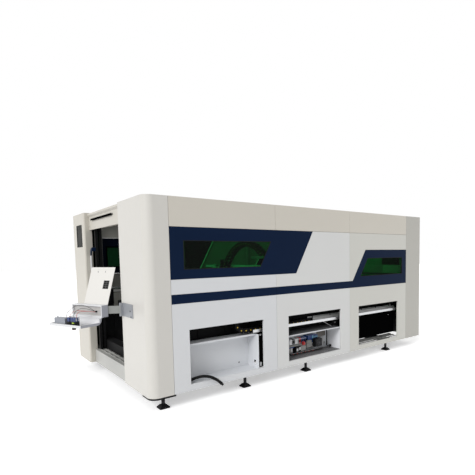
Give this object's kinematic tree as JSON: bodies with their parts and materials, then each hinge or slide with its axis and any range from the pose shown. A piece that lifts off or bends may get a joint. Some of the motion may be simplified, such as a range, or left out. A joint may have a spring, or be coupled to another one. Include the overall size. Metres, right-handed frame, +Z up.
{
  "type": "fiber laser cutting machine",
  "caption": "Enclosed flat-bed fiber laser cutter: sheet metal cabin with tinted windows, sliding end doors, gantry with cutting head over a slat table, and a swinging operator console.",
  "frame": {"origin": "on the floor under the middle of the whole machine with its console and hose", "axes": "+X along the long front to the right, +Y from the front to the back, +Z up"},
  "size_m": [5.3817, 2.6139, 2.14],
  "materials": {
    "white_paint": "satin cool white powder coat",
    "cream_paint": "satin cream powder coat",
    "navy_paint": "satin dark navy paint",
    "blue_grey_paint": "satin blue-grey paint",
    "black_paint": "matt black paint",
    "grey_paint": "satin grey paint",
    "green_glass": "laser filter glass, dark green",
    "steel": "ground steel",
    "raw_steel": "mill steel, cut marks",
    "zinc": "galvanised sheet",
    "aluminium": "anodised",
    "black_plastic": "black",
    "grey_plastic": "light grey",
    "green_plastic": "green",
    "red_plastic": "red",
    "brass": "turned",
    "hose": "black corrugated hose"
  },
  "bodies": {
    "machine": {"front_corner_column": "cream_paint", "front_panel_left": "white_paint", "front_panel_middle": "white_paint", "front_panel_right": "white_paint", "front_fascias": "white_paint", "right_front_column": "white_paint", "right_end_panels": "white_paint", "back_panels": "white_paint", "cabinet_column": "cream_paint", "door_lintel": "cream_paint", "lintel_strip": "black_plastic", "door_sill": "white_paint", "corner_base_plate": "black_paint", "top_frame": "grey_paint", "window_frame_left": "navy_paint", "window_frame_right": "navy_paint", "window_glass": "green_glass", "belt_stripes": "navy_paint", "back_window_frames": "navy_paint", "levelling_feet": "black_paint", "bed_sides": "grey_paint", "bed_cross_members": "grey_paint", "x_guideways": "steel", "x_chain": "black_plastic", "x_chain_tray": "zinc", "slat_frame": "grey_paint", "slats": "raw_steel", "duct_box": "white_paint", "drain_hose": "hose", "hose_nozzle": "zinc", "control_box": "white_paint", "control_devices": "grey_plastic", "bay_cover": "black_paint", "console_bracket": "blue_grey_paint"},
    "gantry": {"gantry_beam": "white_paint", "gantry_trucks": "grey_paint", "x_motors": "black_paint", "y_rails": "steel", "y_chain_tray": "zinc", "y_chain": "black_plastic"},
    "carriage": {"carriage": "aluminium", "y_motor": "black_paint"},
    "head": {"head_plate": "aluminium", "cutting_head": "aluminium", "nozzle": "brass"},
    "door_outer": {"door_frame_outer": "black_paint", "door_pane_outer": "green_glass", "door_handle": "white_paint", "handle_bracket": "navy_paint"},
    "door_inner": {"door_frame_inner": "black_paint", "door_pane_inner": "green_glass"},
    "console": {"console_arm": "blue_grey_paint", "console_box": "white_paint", "console_plate": "blue_grey_paint", "console_wires": "black_plastic"},
    "console_cover": {"console_cover": "white_paint", "contact_blocks": "black_plastic"},
    "start_button": {"start_button": "green_plastic"},
    "stop_button": {"stop_button": "red_plastic"},
    "emergency_stop": {"emergency_stop": "red_plastic"}
  },
  "joints": [
    {"name": "gantry_slide", "type": "slide", "parent": "machine", "child": "gantry", "axis": [1, 0, 0], "range_m": [-1.33, 1.95], "deforming": ["x_chain"]},
    {"name": "carriage_slide", "type": "slide", "parent": "gantry", "child": "carriage", "axis": [0, 1, 0], "range_m": [-1.08, 0.36], "deforming": ["y_chain"]},
    {"name": "head_slide", "type": "slide", "parent": "carriage", "child": "head", "axis": [0, 0, 1], "range_m": [-0.06, 0.06]},
    {"name": "door_outer_slide", "type": "slide", "parent": "machine", "child": "door_outer", "axis": [0, -1, 0], "range_m": [0, 1.12]},
    {"name": "door_inner_slide", "type": "slide", "parent": "machine", "child": "door_inner", "axis": [0, -1, 0], "range_m": [0, 0.53]},
    {"name": "console_arm_hinge", "type": "hinge", "parent": "machine", "child": "console", "pos_m": [-2.0691, -0.575, 0.978], "axis": [0, 0, 1], "range_deg": [-5, 75]},
    {"name": "console_cover_hinge", "type": "hinge", "parent": "console", "child": "console_cover", "pos_m": [-2.35493, -0.31613, 0.901], "axis": [-0.3746, 0.9272, 0], "range_deg": [0, 90], "deforming": ["console_wires"]},
    {"name": "start_button_press", "type": "slide", "parent": "console_cover", "child": "start_button", "axis": [0, 0, 1], "range_m": [0, 0.004], "stiffness_N_per_m": 1200},
    {"name": "stop_button_press", "type": "slide", "parent": "console_cover", "child": "stop_button", "axis": [0, 0, 1], "range_m": [0, 0.004], "stiffness_N_per_m": 1200},
    {"name": "emergency_stop_press", "type": "slide", "parent": "console_cover", "child": "emergency_stop", "axis": [0, 0, 1], "range_m": [0, 0.004], "stiffness_N_per_m": 1200}
  ],
  "couplings": [
    {"joint": "door_inner_slide", "follows": "door_outer_slide", "ratio": 0.47321}
  ]
}
